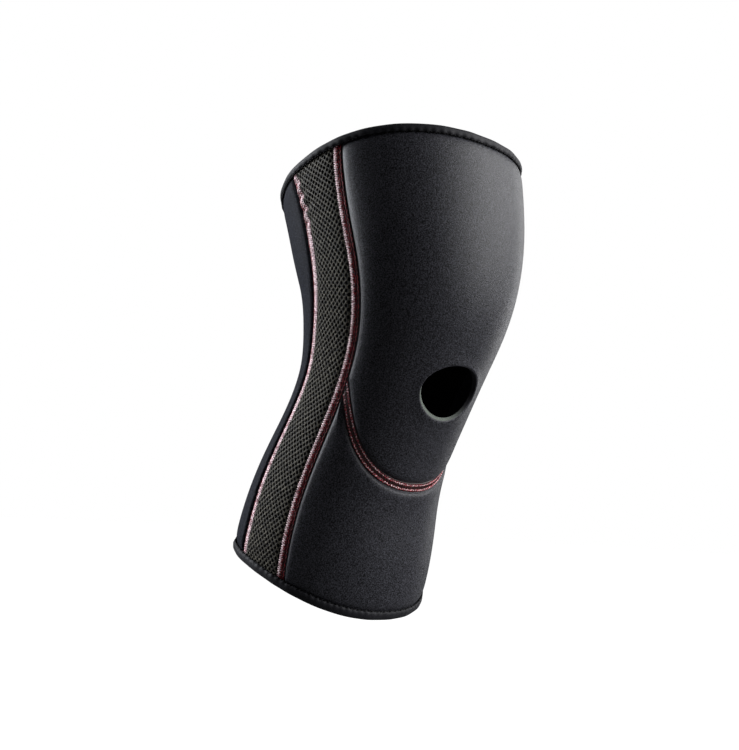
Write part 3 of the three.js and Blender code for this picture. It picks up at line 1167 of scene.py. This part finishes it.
class KNEE_SLEEVE_OT_bindings(bpy.types.Operator):
    """Fold and sew the edging over both ends"""

    bl_idname = "knee_sleeve.bindings"
    bl_label = "Bindings"

    def execute(self, context):
        sizes = context.scene.knee_sleeve_sizes
        leg = Leg(sizes)
        colours = context.scene.knee_sleeve_colours
        cloth = edging_material(colours)
        materials = {"black": thread_material("black thread", scaled(tuple(colours.edging), 0.12), 0.05)}
        tree = stitch_tree()
        ends = (
            ("top", leg.thigh_end, 1, sizes.top_hem, 200),
            ("bottom", leg.calf_end, -1, sizes.bottom_hem, 220),
        )
        level = 0.2 * sizes.binding_skin
        for word, end, up, depth, seed in ends:
            fold = binding_fold(leg, end, up, depth, cloth)
            place = hem_place(leg, end, up, depth)
            stitches = stitch_rows(place, BINDING_ROWS, sizes.seam_width, level, tree, materials, seed)
            piece = joined(f"{word}_edging", [fold, *stitches])
            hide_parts(f"{word}_binding")
            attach(piece, "root")
        return {"FINISHED"}


# Stage

VIEW_TURN = -40.7
VIEW_RISE = -7.5
VIEW_ROLL = 2.9
VIEW_DISTANCE = 0.6487
VIEW_TARGET = (-0.0075, 0.011, -0.0049)
LENS = 47.9


def aim(piece, place, target, roll=0.0):
    """Puts an object at a place so that its -Z axis points at a target."""
    back = (Vector(place) - Vector(target)).normalized()
    right = Vector((0, 0, 1)).cross(back).normalized()
    up = back.cross(right)
    turned = right * math.cos(roll) + up * math.sin(roll)
    axes = Matrix((turned, back.cross(turned), back)).transposed().to_4x4()
    piece.matrix_world = Matrix.Translation(place) @ axes


def direction(turn, rise):
    """The direction at a turn from the front and at a rise above level, both in degrees."""
    turn = math.radians(turn)
    rise = math.radians(rise)
    level = math.cos(rise)
    return Vector((math.sin(turn) * level, -math.cos(turn) * level, math.sin(rise)))


def soft_light(name, turn, rise, distance, size, power, tint=(1, 1, 1)):
    lamp = bpy.data.lights.new(name, "AREA")
    lamp.shape = "RECTANGLE"
    lamp.size, lamp.size_y = size
    lamp.energy = power
    lamp.color = tint
    aim(placed(name, lamp), direction(turn, rise) * distance, (0, 0, 0))


class KNEE_SLEEVE_OT_stage(bpy.types.Operator):
    """Set the floor, lights, background and camera"""

    bl_idname = "knee_sleeve.stage"
    bl_label = "Stage"

    def execute(self, context):
        scene = context.scene
        sizes = scene.knee_sleeve_sizes
        low = CAD_BOX[0][2] - sizes.floor_drop
        bpy.ops.mesh.primitive_circle_add(vertices=96, radius=6, fill_type="NGON", location=(0, 0, low))
        floor = context.object
        floor.name = "floor"
        pale = tuple(scene.knee_sleeve_colours.floor)
        material, tree, shader = shaded("pale floor", scaled(pale, 0.12), 0.9, 0.1)
        seen = node(tree, "ShaderNodeLightPath")
        shader.inputs["Emission Color"].default_value = (*pale, 1)
        tree.links.new(seen.outputs["Is Camera Ray"], shader.inputs["Emission Strength"])
        floor.data.materials.append(material)
        soft_light("right key", 40, 24, 1.3, (1.5, 1.3), 54)
        soft_light("right rim", 98, 10, 1.3, (0.5, 1.1), 4.5)
        soft_light("left rim", -147, 20, 1.15, (0.42, 0.7), 23, (0.92, 0.95, 1))
        world = bpy.data.worlds.new("studio")
        scene.world = world
        world.use_nodes = True
        tree = world.node_tree
        back = tree.nodes["Background"]
        back.inputs["Color"].default_value = (1, 1, 1, 1)
        back.inputs["Strength"].default_value = 0.05
        bright = node(tree, "ShaderNodeBackground", inputs={"Color": (1, 1, 1, 1), "Strength": 1.0})
        seen = node(tree, "ShaderNodeLightPath")
        values = {0: seen.outputs["Is Camera Ray"], 1: back.outputs[0], 2: bright.outputs[0]}
        both = node(tree, "ShaderNodeMixShader", inputs=values)
        tree.links.new(both.outputs[0], tree.nodes["World Output"].inputs["Surface"])
        scene.view_settings.view_transform = "Standard"
        lens = bpy.data.cameras.new("camera")
        lens.lens = LENS
        lens.sensor_width = 36
        camera = placed("camera", lens)
        place = Vector(VIEW_TARGET) + direction(VIEW_TURN, VIEW_RISE) * VIEW_DISTANCE
        aim(camera, place, VIEW_TARGET, math.radians(VIEW_ROLL))
        scene.camera = camera
        return {"FINISHED"}


# The cut cloths, as flat widths, lengths and areas before they are sewn and stretched, and what is sewn on

Cut = namedtuple("Cut", "cloth width length area sewn_on")
ON_FRONT = ("stitched_knee_seam", "stitched_front_seam_left", "stitched_front_seam_right", "top_edging")
CUTS = (
    Cut("front_cloth", 0.18, 0.2, 0.0295, ON_FRONT),
    Cut("shin_cloth", 0.134, 0.14, 0.0134, ("bottom_edging",)),
    Cut("back_cloth", 0.18, 0.257, 0.0353, ("stitched_rear_seam_left", "stitched_rear_seam_right")),
    Cut("netting_lining_left", 0.041, 0.272, 0.0094, ("netting_left",)),
    Cut("netting_lining_right", 0.041, 0.272, 0.0094, ("netting_right",)),
)


def declare_cloths():
    pieces = bpy.data.objects
    for cut in CUTS:
        [pieces[name] for name in cut.sewn_on]


# The panel in the sidebar, and the run

STEPS = (
    KNEE_SLEEVE_OT_panels,
    KNEE_SLEEVE_OT_netting,
    KNEE_SLEEVE_OT_seams,
    KNEE_SLEEVE_OT_bindings,
    KNEE_SLEEVE_OT_stage,
)


class KNEE_SLEEVE_PT_sidebar(bpy.types.Panel):
    """Lists the sleeve's sizes, colours and steps"""

    bl_idname = "KNEE_SLEEVE_PT_sidebar"
    bl_label = "Knee Sleeve"
    bl_space_type = "VIEW_3D"
    bl_region_type = "UI"
    bl_category = "Knee Sleeve"

    def draw(self, context):
        for group in (context.scene.knee_sleeve_sizes, context.scene.knee_sleeve_colours):
            box = self.layout.box()
            for name in group.bl_rna.properties.keys():
                if name not in {"rna_type", "name"}:
                    box.prop(group, name)
        for step in STEPS:
            self.layout.operator(step.bl_idname)


CLASSES = (KneeSleeveSizes, KneeSleeveColours, *STEPS, KNEE_SLEEVE_PT_sidebar)


def register():
    for item in CLASSES:
        bpy.utils.register_class(item)
    bpy.types.Scene.knee_sleeve_sizes = bpy.props.PointerProperty(type=KneeSleeveSizes)
    bpy.types.Scene.knee_sleeve_colours = bpy.props.PointerProperty(type=KneeSleeveColours)


def unregister():
    del bpy.types.Scene.knee_sleeve_colours
    del bpy.types.Scene.knee_sleeve_sizes
    for item in reversed(CLASSES):
        bpy.utils.unregister_class(item)


def main():
    register()
    bpy.ops.knee_sleeve.panels()
    bpy.ops.knee_sleeve.netting()
    bpy.ops.knee_sleeve.seams()
    bpy.ops.knee_sleeve.bindings()
    bpy.ops.knee_sleeve.stage()
    declare_cloths()


if __name__ == "__main__":
    main()
